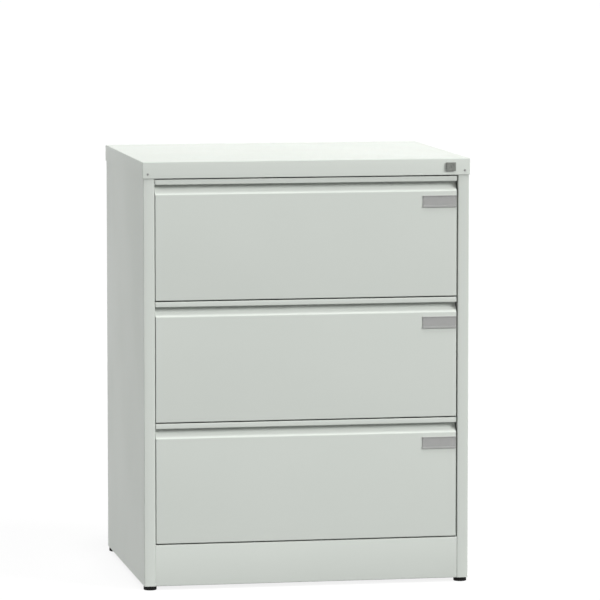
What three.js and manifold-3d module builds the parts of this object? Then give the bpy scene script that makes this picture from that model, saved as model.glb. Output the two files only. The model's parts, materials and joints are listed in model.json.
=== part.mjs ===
// Filing cabinet of folded sheet steel with three wide drawers, each for two rows of hanging files.
// Millimetres. X runs across the front, Y from front to back and Z up from the floor.
import * as THREE from 'three';
import { mergeVertices } from 'three/addons/utils/BufferGeometryUtils.js';
import Module from 'manifold-3d';

const wasm = await Module();
wasm.setup();

// Carcass
const coverWidth = 777.5;
const coverDepth = 630;
const coverSkirt = 38.7;
const coverPlay = 1; // air between the cover's skirt and the body
const coverEase = 0.6; // radius left at the cover's corners above the fold
const sheet = 1; // gauge of the carcass
const bend = 1.2; // inside radius of its folds
const stileWidth = 26.4;
const stileDepth = 40;
const stileSlit = 1.5; // left open where the stile's fold meets the side
const rearReturn = 18;
const plinthHeight = 97.2;
const plinthReturn = 22;
const plinthSetback = 0.6;
const railReturn = 22;
const baseFlange = 25;
const backFlange = 15;
const postDepth = 50;
const postRearSpace = 50; // between the rear post and the back panel
const seat = 0.3; // air between pieces that are fixed together

// Levelling feet
const footHeight = 9.6; // floor to the body's lower edge
const footRadius = 15.5;
const footRim = 1.5;
const footEdge = 0.8;
const footInset = 15.5; // foot's centre to the body's side
const footFrontInset = 17;
const footRearInset = 22;
const studRadius = 4;
const studLength = 28;
const footPlate = 3;
const nutRadius = 9;
const nutHeight = 9;

// Drawers
const drawerCount = 3;
const frontHeight = 282.5;
const frontGap = 3; // above and below every drawer front
const frontGapLeft = 1.6; // the fronts hang a little to the left
const frontGapRight = 3.3;
const frontBox = 16; // depth of the front skin's folded edges
const lipHeight = 12;
const gripHeight = 35.2; // top edge to the crease under the grip groove
const gripDepth = 14.6;
const gripBend = 2.2;
const coveDrop = 19; // top edge to where the groove turns out to the crease
const coveDepth = 13.8;
const coveBend = 16;
const drawerSheet = 1;
const drawerBend = 1.2;
const bottomReturn = 14;
const linerMargin = 0.6;
const linerFlange = 8;
const trayLift = 8; // front's lower edge to the tray
const trayRearSpace = 45; // tray to the back panel
const fileHeadroom = 45; // hanging rail to the tray above
const hemGap = 1.6;
const hemDrop = 9;
const hemBend = 0.6;
const dividerWidth = 39.5; // leaves 330 between the two hanging rails of a row
const rearFlange = 10;

// Label holders
const labelWidth = 81.5;
const labelHeight = 28.2;
const labelDrop = 45; // front's top edge to the holder
const labelProud = 1.9;
const labelGauge = 0.45;
const labelLip = 3;
const cardThickness = 0.3;

// Telescopic slides
const slideHeight = 45;
const slideDepth = 10; // carcass to tray
const slideGauge = 1.1;
const slidePlay = 0.4; // between members
const slideLip = 4;
const slideBend = 0.5;
const slideRise = 62; // tray bottom to the slide's middle
const slideFrontSpace = 2.5; // between a front's liner and the slide
const slideRearSpace = 38;

// Lock
const lockWidth = 22.3;
const lockHeight = 20;
const lockProud = 4;
const lockCorner = 1.5;
const lockInset = 44.2; // lock's axis to the body's side
const barrelRadius = 8.5;
const barrelLength = 24;
const plugRadius = 5.5;
const plugRecess = 0.4;
const keywayWidth = 1.6;
const keywayHeight = 6.5;
const keywayDepth = 8;
const tailRadius = 3;
const camThickness = 3;
const camClear = 0.45; // cam to the lock bar
const camThrow = 8.5; // lock's axis to the cam's pin
const camRadius = 6;
const camWall = 2; // round the pin
const pinRadius = 2.2;
const slotPlay = 0.4;
const barThickness = 2;
const barWidth = 14;
const barInset = 4; // lock bar to the side panel
const barStandoff = 9; // stile to the lock bar
const barTail = 6; // below the lower guide while locked
const armHeight = 12;
const armWall = 3; // beyond the pin's slot
const fingerHeight = 10;
const fingerGap = 3; // below a catch while unlocked
const fingerClear = 1.2;
const catchHeight = 10;
const catchLength = 8;
const catchDrop = 40; // hanging rail to the catch
const catchClear = 2.5;
const catchGap = 0.6; // lock bar to a catch
const guideWall = 2.2;
const guideHeight = 12;
const guideRise = 110; // front's lower edge to a guide of the lock bar

// Rivets of the cover
const rivetInset = 10.85;
const rivetDrop = 28.3;
const rivetRadius = 1.6;
const rivetHead = 2.7;
const rivetDome = 1;
const rivetReach = 6;

// Facets of round shapes
const bendSteps = 3;
const tightSteps = 1;
const rivetSteps = 12;
const roundSteps = 24;

// Planes and edges that pieces share
const bodyHalf = coverWidth / 2 - sheet - coverPlay;
const coverFront = -(coverDepth - lockProud) / 2;
const coverBack = coverFront + coverDepth;
const bodyFront = coverFront + sheet + coverPlay;
const bodyBack = coverBack - sheet - coverPlay;
const bodyBottom = footHeight;
const openingBottom = bodyBottom + plinthHeight;
const drawerPitch = frontHeight + frontGap;
const coverBottom = openingBottom + frontGap + drawerCount * drawerPitch;
const coverTop = coverBottom + coverSkirt;
const bodyTop = coverTop - sheet - seat;
const sideInner = bodyHalf - sheet;
const stileInner = bodyHalf - stileWidth;
const stileBack = bodyFront + stileDepth;
const backOuter = bodyBack - sheet - seat;
const backInner = backOuter - sheet;
const frontLeft = -stileInner + frontGapLeft;
const frontRight = stileInner - frontGapRight;
const linerFront = bodyFront + frontBox + seat;
const trayFront = linerFront + drawerSheet + seat;
const trayBack = backInner - trayRearSpace;
const trayHalf = stileInner - seat - slideDepth - seat;
const trayFloor = trayLift + drawerSheet;
const railTop = drawerPitch + trayLift - fileHeadroom;
const dividerHalf = dividerWidth / 2;
const lockX = bodyHalf - lockInset;
const lockZ = coverBottom + coverSkirt / 2;
const lockLift = camThrow * Math.SQRT2; // lock bar's travel in a quarter turn
const barFront = stileBack + barStandoff;
const barBack = barFront + barThickness;
const barOuter = sideInner - barInset;
const barInner = barOuter - barWidth;
const camBack = barFront - camClear;
const catchBottom = railTop - catchDrop;
const fingerBottom = catchBottom - fingerGap - fingerHeight;
const fingerTip = trayHalf + hemGap + drawerSheet + fingerClear;

// Bottom edge of a drawer's front, counted from the top drawer
const drawerBottom = (number) => coverBottom - number * drawerPitch;

// Outline of a folded strip. The path follows one face and the metal lies on its left.
function foldedOutline(path, gauge, radius, { radii = {}, steps = bendSteps } = {}) {
  const corners = path.map(([a, b]) => new THREE.Vector2(a, b));
  const faceSide = [];
  const farSide = [];
  const leftOf = (direction) => new THREE.Vector2(-direction.y, direction.x);
  const addPair = (point, normal) => {
    faceSide.push(point.clone());
    farSide.unshift(point.clone().addScaledVector(normal, gauge));
  };
  corners.forEach((corner, index) => {
    const before = corner.clone().sub(corners[index - 1] ?? corner).normalize();
    const after = (corners[index + 1] ?? corner).clone().sub(corner).normalize();
    if (index === 0 || index === corners.length - 1) {
      addPair(corner, leftOf(index === 0 ? after : before));
      return;
    }
    const angle = Math.atan2(before.cross(after), before.dot(after));
    const inside = radii[index] ?? radius;
    const reach = angle > 0 ? inside + gauge : inside;
    const start = corner.clone().addScaledVector(before, -reach * Math.tan(Math.abs(angle) / 2));
    const pivot = start.clone().addScaledVector(leftOf(before), Math.sign(angle) * reach);
    for (let step = 0; step <= steps; step += 1) {
      const turned = (angle * step) / steps;
      const normal = leftOf(before).rotateAround(new THREE.Vector2(), turned);
      addPair(pivot.clone().addScaledVector(normal, -Math.sign(angle) * reach), normal);
    }
  });
  return [...faceSide, ...farSide];
}

function roundedRectangle([a0, b0], [a1, b1], radius) {
  const shape = new THREE.Shape();
  shape.moveTo(a0 + radius, b0);
  shape.lineTo(a1 - radius, b0);
  shape.absarc(a1 - radius, b0 + radius, radius, -Math.PI / 2, 0);
  shape.lineTo(a1, b1 - radius);
  shape.absarc(a1 - radius, b1 - radius, radius, 0, Math.PI / 2);
  shape.lineTo(a0 + radius, b1);
  shape.absarc(a0 + radius, b1 - radius, radius, Math.PI / 2, Math.PI);
  shape.lineTo(a0, b0 + radius);
  shape.absarc(a0 + radius, b0 + radius, radius, Math.PI, 1.5 * Math.PI);
  return shape.extractPoints(bendSteps).shape;
}

// Bar of constant section: along x the outline is (y, z), along y (x, z) and along z (x, y)
function prism(axis, outline, from, to) {
  const options = { depth: to - from, bevelEnabled: false };
  const geometry = new THREE.ExtrudeGeometry(new THREE.Shape(outline), options);
  if (axis === 'x') {
    const [unitX, unitY, unitZ] = [[1, 0, 0], [0, 1, 0], [0, 0, 1]].map((v) => new THREE.Vector3(...v));
    return geometry.applyMatrix4(new THREE.Matrix4().makeBasis(unitY, unitZ, unitX)).translate(from, 0, 0);
  }
  return axis === 'y' ? geometry.rotateX(Math.PI / 2).translate(0, to, 0) : geometry.translate(0, 0, from);
}

function box([x0, y0, z0], [x1, y1, z1]) {
  const geometry = new THREE.BoxGeometry(x1 - x0, y1 - y0, z1 - z0);
  return geometry.translate((x0 + x1) / 2, (y0 + y1) / 2, (z0 + z1) / 2);
}

// Round bar along Y
function roundBar(x, z, radius, from, to) {
  const geometry = new THREE.CylinderGeometry(radius, radius, to - from, roundSteps);
  return geometry.translate(x, (from + to) / 2, z);
}

// Round bar along Z
function roundPost(x, y, radius, from, to) {
  const geometry = new THREE.CylinderGeometry(radius, radius, to - from, roundSteps).rotateX(Math.PI / 2);
  return geometry.translate(x, y, (from + to) / 2);
}

function toSolid(geometry) {
  const bare = new THREE.BufferGeometry().setAttribute('position', geometry.getAttribute('position').clone());
  if (geometry.index) bare.setIndex(geometry.index.clone());
  const merged = mergeVertices(bare);
  const vertProperties = merged.getAttribute('position').array;
  const triVerts = new Uint32Array(merged.index.array);
  return new wasm.Manifold(new wasm.Mesh({ numProp: 3, vertProperties, triVerts }));
}

function toGeometry(solid) {
  const { vertProperties, triVerts } = solid.getMesh();
  const geometry = new THREE.BufferGeometry();
  geometry.setAttribute('position', new THREE.BufferAttribute(vertProperties, 3));
  geometry.setIndex(new THREE.BufferAttribute(triVerts, 1));
  geometry.computeVertexNormals();
  return geometry;
}

const join = (...pieces) => toGeometry(pieces.map(toSolid).reduce((whole, piece) => whole.add(piece)));

const cut = (piece, ...tools) =>
  toGeometry(tools.map(toSolid).reduce((whole, tool) => whole.subtract(tool), toSolid(piece)));

// Finishes: colour, roughness and metalness
const finishes = {
  paint: [0xc9cec8, 0.5, 0.05],
  zinc: [0xb4b8ba, 0.38, 0.9],
  lockGrey: [0x84867f, 0.42, 0.35],
  nickel: [0x9a9b98, 0.32, 0.9],
  labelGrey: [0xa6a7a5, 0.5, 0.1],
  card: [0xb9bab7, 0.85, 0],
  black: [0x161616, 0.6, 0],
};

function piece(name, geometry, finish) {
  const [color, roughness, metalness] = finishes[finish];
  const material = new THREE.MeshStandardMaterial({ color, roughness, metalness });
  const mesh = new THREE.Mesh(geometry, material);
  mesh.name = name;
  return mesh;
}

// The right-hand piece as drawn and its mirror image on the left
function pair(name, geometry, finish) {
  const left = piece(`${name}_left`, geometry, finish);
  left.scale.x = -1;
  return [left, piece(`${name}_right`, geometry, finish)];
}

// Side sheet, folded at the front into the box-section stile that stands on a foot plate
function sidePanel() {
  const path = [
    [sideInner - stileSlit, stileBack],
    [stileInner, stileBack],
    [stileInner, bodyFront],
    [bodyHalf, bodyFront],
    [bodyHalf, bodyBack],
    [bodyHalf - rearReturn, bodyBack],
  ];
  const skin = prism('z', foldedOutline(path, sheet, bend), bodyBottom, bodyTop);
  const inside = sheet / 2;
  const plate = box(
    [stileInner + inside, bodyFront + inside, bodyBottom],
    [bodyHalf - inside, stileBack - inside, bodyBottom + footPlate],
  );
  const plateTop = bodyBottom + footPlate + seat;
  const studHole = roundPost(bodyHalf - footInset, bodyFront + footFrontInset, studRadius + seat, 0, plateTop);
  return cut(join(skin, plate), studHole, rivetHole());
}

function rivetHole() {
  const x = bodyHalf - rivetInset;
  return roundBar(x, coverTop - rivetDrop, rivetRadius + seat, coverFront - sheet, bodyFront + 2 * sheet);
}

// Lid with a skirt all round, its top edges rounded by the fold
function topCover() {
  const half = coverWidth / 2;
  const fold = bend + sheet;
  const spare = 2 * fold;
  const outline = roundedRectangle([-half, coverFront], [half, coverBack], fold + coverEase);
  const blank = new THREE.ExtrudeGeometry(new THREE.Shape(outline), {
    depth: coverSkirt + spare - 2 * fold,
    bevelThickness: fold,
    bevelSize: fold,
    bevelOffset: -fold,
    bevelSegments: bendSteps,
  }).translate(0, 0, coverBottom - spare + fold);
  const below = box([-coverWidth, -coverDepth, coverBottom - 2 * spare], [coverWidth, coverDepth, coverBottom]);
  const hollowOutline = roundedRectangle(
    [-half + sheet, coverFront + sheet],
    [half - sheet, coverBack - sheet],
    bend + coverEase,
  );
  const hollow = prism('z', hollowOutline, coverBottom - spare, coverTop - sheet);
  const rivetRight = rivetHole();
  const rivetLeft = rivetHole().translate(-2 * (bodyHalf - rivetInset), 0, 0);
  return cut(blank, below, hollow, rivetRight, rivetLeft, lockHole());
}

const lockHole = () =>
  roundBar(lockX, lockZ, barrelRadius + seat, coverFront - sheet, bodyFront + 2 * sheet + seat);

// Channel behind the skirt that ties the stiles together and carries the lock
function topFrontRail() {
  const low = coverBottom + sheet;
  const path = [
    [bodyFront + railReturn, bodyTop],
    [bodyFront, bodyTop],
    [bodyFront, low],
    [bodyFront + railReturn, low],
  ];
  const half = stileInner - seat;
  return cut(prism('x', foldedOutline(path, sheet, bend), -half, half), lockHole());
}

function plinthPanel() {
  const face = bodyFront + plinthSetback;
  const path = [
    [face + plinthReturn, openingBottom],
    [face, openingBottom],
    [face, bodyBottom],
    [face + plinthReturn, bodyBottom],
  ];
  const half = stileInner - seat;
  return prism('x', foldedOutline(path, sheet, bend), -half, half);
}

function backPanel() {
  const path = [
    [backOuter, bodyBottom],
    [backOuter, bodyTop],
    [backOuter - backFlange, bodyTop],
  ];
  const half = sideInner - bend - seat;
  return prism('x', foldedOutline(path, sheet, bend), -half, half);
}

// Shallow tray that closes the bottom, with weld nuts for the rear feet
function basePan() {
  const half = sideInner - seat;
  const front = stileBack + seat;
  const back = backInner - seat;
  const fold = bend + sheet;
  const block = prism(
    'z',
    roundedRectangle([-half, front], [half, back], fold),
    bodyBottom,
    bodyBottom + baseFlange,
  );
  const hollow = prism(
    'z',
    roundedRectangle([-half + sheet, front + sheet], [half - sheet, back - sheet], bend),
    bodyBottom + sheet,
    bodyBottom + 2 * baseFlange,
  );
  let pan = cut(block, hollow);
  for (const x of [-footX, footX]) {
    const nut = roundPost(x, rearFootY, nutRadius, bodyBottom + sheet / 2, bodyBottom + sheet + nutHeight);
    const thread = roundPost(x, rearFootY, studRadius + seat, 0, bodyBottom + 2 * baseFlange);
    pan = cut(join(pan, nut), thread);
  }
  return pan;
}

const footX = bodyHalf - footInset;
const frontFootY = bodyFront + footFrontInset;
const rearFootY = bodyBack - footRearInset;

// Upright channel that carries the rear ends of the slides
function rearPost() {
  const back = backInner - postRearSpace;
  const path = [
    [sideInner - seat, back],
    [stileInner, back],
    [stileInner, back - postDepth],
    [sideInner - seat, back - postDepth],
  ];
  return prism('z', foldedOutline(path, sheet, bend), bodyBottom + baseFlange + seat, bodyTop);
}

// Moulded pad and its threaded stud
function levellingFoot() {
  const padTop = footHeight - seat;
  const profile = [
    [0, 0],
    [footRadius - footRim, 0],
    [footRadius, footRim],
    [footRadius, padTop - footEdge],
    [footRadius - footEdge, padTop],
    [studRadius, padTop],
    [studRadius, padTop + studLength - footEdge],
    [studRadius - footEdge, padTop + studLength],
    [0, padTop + studLength],
  ].map(([radius, height]) => new THREE.Vector2(radius, height));
  return new THREE.LatheGeometry(profile, roundSteps).rotateX(Math.PI / 2);
}

function coverRivet() {
  const profile = [
    [0, -rivetReach],
    [rivetRadius, -rivetReach],
    [rivetRadius, 0],
  ];
  for (let step = 0; step < bendSteps; step += 1) {
    const turned = ((Math.PI / 2) * step) / bendSteps;
    profile.push([rivetHead * Math.cos(turned), rivetDome * Math.sin(turned)]);
  }
  profile.push([0, rivetDome]);
  const points = profile.map(([radius, height]) => new THREE.Vector2(radius, height));
  const upright = new THREE.LatheGeometry(points, rivetSteps).rotateX(Math.PI);
  return upright.translate(bodyHalf - rivetInset, coverFront - seat / 2, coverTop - rivetDrop);
}

// Section of a slide member as (x, z) on the right side: u runs from the carcass to the tray, v up
const slideOutline = (path) =>
  foldedOutline(path, slideGauge, slideBend, { steps: tightSteps }).map(
    (point) => new THREE.Vector2(stileInner - seat - point.x, point.y),
  );

const slideStart = trayFront + slideFrontSpace;
const slideEnd = backInner - slideRearSpace;

// Channel with inward lips, cleared by play from the member around it
function slideChannel(nesting) {
  const step = nesting * (slideGauge + slidePlay);
  const low = -slideHeight / 2 + step;
  const mouth = slideDepth - slidePlay - slideGauge / 2 - step;
  const path = [
    [mouth, low + slideLip],
    [mouth, low],
    [step, low],
    [step, -low],
    [mouth, -low],
    [mouth, -low - slideLip],
  ].reverse();
  return prism('y', slideOutline(path), slideStart, slideEnd);
}

// Hat section on the tray, its brims held behind the lips of the middle member
function slideRunner() {
  const step = 2 * (slideGauge + slidePlay);
  const brim = slideHeight / 2 - step;
  const crown = brim + slidePlay - slideLip - slideGauge;
  const deep = step + slideGauge;
  const path = [
    [deep, brim],
    [deep, crown],
    [slideDepth, crown],
    [slideDepth, -crown],
    [deep, -crown],
    [deep, -brim],
  ].reverse();
  return prism('y', slideOutline(path), slideStart, slideEnd);
}

// Front skin: panel, coved grip groove and the lip above it, with folded side edges
function drawerFront() {
  const gauge = drawerSheet;
  const coveZ = frontHeight - coveDrop;
  const creaseZ = frontHeight - gripHeight;
  const path = [
    [bodyFront + gauge, frontHeight - lipHeight],
    [bodyFront + gauge, frontHeight - gauge],
    [bodyFront + gripDepth, frontHeight - gauge],
    [bodyFront + coveDepth, coveZ],
    [bodyFront, creaseZ],
    [bodyFront, 0],
    [bodyFront + bottomReturn, 0],
  ];
  const indexAt = (height) => path.findIndex(([, z]) => z === height);
  const radii = { [indexAt(coveZ)]: coveBend, [indexAt(creaseZ)]: gripBend };
  const outline = foldedOutline(path, gauge, drawerBend, { radii });
  const skin = prism('x', outline, frontLeft, frontRight);
  const edge = (x0, x1) =>
    box([x0, bodyFront + gauge / 2, gauge / 2], [x1, bodyFront + frontBox, creaseZ - gripBend]);
  return join(skin, edge(frontLeft, frontLeft + gauge), edge(frontRight - gauge, frontRight));
}

// Sheet that closes the back of the front skin, stiffened by a fold along its top
function drawerLiner() {
  const top = frontHeight - linerMargin;
  const path = [
    [linerFront + linerFlange, top],
    [linerFront, top],
    [linerFront, linerMargin],
  ];
  const outline = foldedOutline(path, drawerSheet, drawerBend);
  return prism('x', outline, frontLeft + linerMargin, frontRight - linerMargin);
}

// Bottom and sides in one sheet; the hemmed tops of the sides are the outer hanging rails
function drawerTray() {
  const shoulder = railTop - drawerSheet;
  const hemFoot = railTop - hemDrop;
  const path = [
    [-trayHalf - hemGap, hemFoot],
    [-trayHalf - hemGap, shoulder],
    [-trayHalf, shoulder],
    [-trayHalf, trayLift],
    [trayHalf, trayLift],
    [trayHalf, shoulder],
    [trayHalf + hemGap, shoulder],
    [trayHalf + hemGap, hemFoot],
  ];
  const radii = { 1: hemBend, 2: hemBend, 5: hemBend, 6: hemBend };
  const outline = foldedOutline(path, drawerSheet, drawerBend, { radii });
  const wrapper = prism('y', outline, trayFront, trayBack);
  const catchFront = barBack + catchGap;
  const lockCatch = box(
    [trayHalf - drawerSheet / 2, catchFront, catchBottom],
    [stileInner - catchClear, catchFront + catchLength, catchBottom + catchHeight],
  );
  return join(wrapper, lockCatch);
}

const rearWallFront = trayBack - drawerSheet - seat;

function drawerRearWall() {
  const face = rearWallFront + drawerSheet;
  const low = trayFloor + seat;
  const path = [
    [face - rearFlange, low],
    [face, low],
    [face, railTop],
    [face - rearFlange, railTop],
  ];
  const half = trayHalf - drawerSheet - Math.max(drawerBend, seat);
  return prism('x', foldedOutline(path, drawerSheet, drawerBend), -half, half);
}

// Channel along the middle whose two edges are the inner hanging rails
function drawerDivider() {
  const low = trayFloor + seat;
  const path = [
    [-dividerHalf, railTop],
    [-dividerHalf, low],
    [dividerHalf, low],
    [dividerHalf, railTop],
  ];
  const rear = rearWallFront + drawerSheet - rearFlange - seat;
  return prism('y', foldedOutline(path, drawerSheet, drawerBend), trayFront + seat, rear);
}

const labelTop = frontHeight - labelDrop;
const labelBack = bodyFront - seat / 2;

function labelHolder() {
  const face = labelBack - labelProud;
  const low = labelTop - labelHeight;
  const path = [
    [face, low + labelLip],
    [face, low],
    [labelBack, low],
    [labelBack, labelTop],
    [face, labelTop],
    [face, labelTop - labelLip],
  ];
  const outline = foldedOutline(path, labelGauge, labelGauge / 2, { steps: tightSteps });
  return prism('x', outline, frontRight - labelWidth, frontRight);
}

function labelCard() {
  const margin = labelGauge + seat;
  const back = labelBack - margin;
  return box(
    [frontRight - labelWidth + margin, back - cardThickness, labelTop - labelHeight + margin],
    [frontRight - margin, back, labelTop - margin],
  );
}

// Head on the cover's skirt and the round barrel behind it
function lockHousing() {
  const face = coverFront - lockProud;
  const head = prism(
    'y',
    roundedRectangle(
      [lockX - lockWidth / 2, lockZ - lockHeight / 2],
      [lockX + lockWidth / 2, lockZ + lockHeight / 2],
      lockCorner,
    ),
    face,
    coverFront - seat,
  );
  const barrel = roundBar(lockX, lockZ, barrelRadius, coverFront - lockProud / 2, coverFront + barrelLength);
  const bore = roundBar(lockX, lockZ, plugRadius + seat, face - lockProud, coverFront + 2 * barrelLength);
  return cut(join(head, barrel), bore);
}

function lockCylinder() {
  const face = coverFront - lockProud + plugRecess;
  const plugEnd = coverFront + barrelLength;
  const plug = roundBar(lockX, lockZ, plugRadius, face, plugEnd);
  const tail = roundBar(lockX, lockZ, tailRadius, plugEnd - seat, camBack - seat);
  const keyway = box(
    [lockX - keywayWidth / 2, face - lockProud, lockZ - keywayHeight / 2],
    [lockX + keywayWidth / 2, face + keywayDepth, lockZ + keywayHeight / 2],
  );
  return cut(join(plug, tail), keyway);
}

// Arm on the cylinder's tail; its pin lies 45 degrees below the level while unlocked
function lockCam() {
  const front = camBack - camThickness;
  const pinX = lockX + camThrow * Math.SQRT1_2;
  const pinZ = lockZ - camThrow * Math.SQRT1_2;
  const hub = roundBar(lockX, lockZ, camRadius, front, camBack);
  const eye = roundBar(pinX, pinZ, pinRadius + camWall, front, camBack);
  const pin = roundBar(pinX, pinZ, pinRadius, front + seat, barBack + camThickness / 2);
  const tailHole = roundBar(lockX, lockZ, tailRadius + seat, front - camThickness, camBack + camThickness);
  return cut(join(hub, eye, pin), tailHole);
}

// Flat bar with a slotted arm for the cam's pin and one finger below the catch of each drawer
function lockBar() {
  const pinZ = lockZ - lockLift / 2;
  const slotHalf = pinRadius + slotPlay;
  const armTip = lockX + camThrow * Math.SQRT1_2 - slotHalf - armWall;
  const low = drawerBottom(drawerCount) + guideRise - lockLift - barTail;
  const flat = (x0, z0, x1, z1) => box([x0, barFront, z0], [x1, barBack, z1]);
  const strip = flat(barInner, low, barOuter, pinZ + armHeight / 2);
  const arm = flat(armTip, pinZ - armHeight / 2, barOuter, pinZ + armHeight / 2);
  const fingers = [];
  for (let number = 1; number <= drawerCount; number += 1) {
    const z = drawerBottom(number) + fingerBottom;
    fingers.push(flat(fingerTip, z, barOuter, z + fingerHeight));
  }
  const slot = box(
    [lockX + camThrow * Math.SQRT1_2 - slotHalf, barFront - sheet, pinZ - slotHalf],
    [lockX + camThrow + slotHalf, barBack + sheet, pinZ + slotHalf],
  );
  return cut(join(strip, arm, ...fingers), slot);
}

// Bracket on the side panel in which the lock bar slides
function barGuide(number) {
  const z = drawerBottom(number) + guideRise;
  const block = box(
    [barInner - seat - guideWall, barFront - seat - guideWall, z],
    [sideInner - seat, barBack + seat + guideWall, z + guideHeight],
  );
  const way = box(
    [barInner - seat, barFront - seat, z - guideHeight],
    [barOuter + seat, barBack + seat, z + 2 * guideHeight],
  );
  return cut(block, way);
}

function addCarcass(cabinet) {
  cabinet.add(...pair('side_panel', sidePanel(), 'paint'));
  cabinet.add(...pair('rear_post', rearPost(), 'zinc'));
  cabinet.add(...pair('cover_rivet', coverRivet(), 'zinc'));
  cabinet.add(piece('top_cover', topCover(), 'paint'));
  cabinet.add(piece('top_front_rail', topFrontRail(), 'paint'));
  cabinet.add(piece('plinth_panel', plinthPanel(), 'paint'));
  cabinet.add(piece('back_panel', backPanel(), 'paint'));
  cabinet.add(piece('base_pan', basePan(), 'paint'));
}

function addFeet(cabinet) {
  for (const [place, y] of [['front', frontFootY], ['rear', rearFootY]]) {
    for (const [side, x] of [['left', -footX], ['right', footX]]) {
      const foot = piece(`foot_${place}_${side}`, levellingFoot(), 'black');
      foot.position.set(x, y, 0);
      cabinet.add(foot);
    }
  }
}

function addDrawer(cabinet, number) {
  const drawer = new THREE.Group();
  const name = (part) => `drawer_${number}_${part}`;
  drawer.add(piece(name('front'), drawerFront(), 'paint'));
  drawer.add(piece(name('liner'), drawerLiner(), 'paint'));
  drawer.add(piece(name('tray'), drawerTray(), 'paint'));
  drawer.add(piece(name('rear_wall'), drawerRearWall(), 'paint'));
  drawer.add(piece(name('divider'), drawerDivider(), 'paint'));
  drawer.add(piece(name('label_holder'), labelHolder(), 'labelGrey'));
  drawer.add(piece(name('label_card'), labelCard(), 'card'));
  const slides = new THREE.Group();
  slides.add(...pair(name('runner'), slideRunner(), 'zinc'));
  slides.add(...pair(name('slide_middle'), slideChannel(1), 'zinc'));
  slides.add(...pair(name('slide_outer'), slideChannel(0), 'zinc'));
  slides.position.z = trayLift + slideRise;
  drawer.add(slides);
  drawer.position.z = drawerBottom(number);
  cabinet.add(drawer);
}

function addLock(cabinet) {
  cabinet.add(piece('lock_housing', lockHousing(), 'lockGrey'));
  cabinet.add(piece('lock_cylinder', lockCylinder(), 'nickel'));
  cabinet.add(piece('lock_cam', lockCam(), 'zinc'));
  cabinet.add(piece('lock_bar', lockBar(), 'zinc'));
  cabinet.add(piece('lock_bar_guide_upper', barGuide(1), 'zinc'));
  cabinet.add(piece('lock_bar_guide_lower', barGuide(drawerCount), 'zinc'));
}

const cabinet = new THREE.Group();
addCarcass(cabinet);
addFeet(cabinet);
addLock(cabinet);
for (let number = 1; number <= drawerCount; number += 1) {
  addDrawer(cabinet, number);
}

export default cabinet;
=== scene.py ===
# Wide filing cabinet of folded sheet steel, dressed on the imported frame. Metres, Z up, front towards -Y.
import json
import math

import bmesh
import bpy
from mathutils import Matrix, Vector


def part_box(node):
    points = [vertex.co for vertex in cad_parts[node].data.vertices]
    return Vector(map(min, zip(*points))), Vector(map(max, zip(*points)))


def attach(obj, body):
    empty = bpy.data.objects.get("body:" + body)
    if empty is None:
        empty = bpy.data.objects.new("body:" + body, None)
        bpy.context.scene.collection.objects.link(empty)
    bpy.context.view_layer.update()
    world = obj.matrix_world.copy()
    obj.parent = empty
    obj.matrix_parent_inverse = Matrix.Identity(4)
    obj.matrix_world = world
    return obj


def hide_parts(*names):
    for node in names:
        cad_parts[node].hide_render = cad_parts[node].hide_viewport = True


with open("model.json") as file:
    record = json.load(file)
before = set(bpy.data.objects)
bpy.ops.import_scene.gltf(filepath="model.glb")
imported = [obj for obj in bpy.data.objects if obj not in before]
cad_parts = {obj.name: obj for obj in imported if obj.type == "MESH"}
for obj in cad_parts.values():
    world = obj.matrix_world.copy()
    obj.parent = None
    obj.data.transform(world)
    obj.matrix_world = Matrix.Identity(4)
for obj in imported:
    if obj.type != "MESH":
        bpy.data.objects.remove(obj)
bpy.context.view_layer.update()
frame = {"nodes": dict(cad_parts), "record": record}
mm = 0.001
drawerNumbers = (1, 2, 3)
sides = {"left": -1, "right": 1}


# Camera, where the photograph was taken from

cameraSet = {
    "place": (-1.8396, -10.2998, 1.7022),
    "yaw": 10.339,  # degrees to the right of straight ahead
    "pitch": 5.764,  # degrees down
    "focalPixels": 4363.3,
    "framePixels": 600,
    "sensor": 36,  # millimetres
    "farClip": 300,
}


def makeCamera():
    data = bpy.data.cameras.new("photoCamera")
    data.sensor_width = cameraSet["sensor"]
    data.lens = cameraSet["sensor"] * cameraSet["focalPixels"] / cameraSet["framePixels"]
    data.clip_end = cameraSet["farClip"]
    camera = bpy.data.objects.new("photoCamera", data)
    camera.location = cameraSet["place"]
    camera.rotation_euler = (math.radians(90 - cameraSet["pitch"]), 0, math.radians(-cameraSet["yaw"]))
    bpy.context.collection.objects.link(camera)
    bpy.context.scene.camera = camera


makeCamera()
bpy.context.scene.view_settings.view_transform = "Standard"
print("camera set")


# Small node helpers: a value that is a socket is linked, any other is typed in

def put(tree, kind, inputs=None, **settings):
    node = tree.nodes.new(kind)
    for name, value in settings.items():
        setattr(node, name, value)
    for name, value in (inputs or {}).items():
        if isinstance(value, bpy.types.NodeSocket):
            tree.links.new(value, node.inputs[name])
        else:
            node.inputs[name].default_value = value
    return node


def sums(tree, operation, first, second):
    return put(tree, "ShaderNodeMath", {0: first, 1: second}, operation=operation).outputs[0]


def times(tree, first, second):
    return sums(tree, "MULTIPLY", first, second)


def ramp(tree, value, low, high, start=0.0, end=1.0):
    spread = {"Value": value, "From Min": low, "From Max": high, "To Min": start, "To Max": end}
    return put(tree, "ShaderNodeMapRange", spread, interpolation_type="SMOOTHSTEP").outputs[0]


def blendColors(tree, share, first, second):
    node = put(tree, "ShaderNodeMix", {0: share, 6: first, 7: second}, data_type="RGBA")
    return node.outputs[2]


def objectSpot(tree):
    return put(tree, "ShaderNodeTexCoord").outputs["Object"]


def noise(tree, spot, scale, detail):
    return put(tree, "ShaderNodeTexNoise", {"Vector": spot, "Scale": scale, "Detail": detail}).outputs[0]


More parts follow.
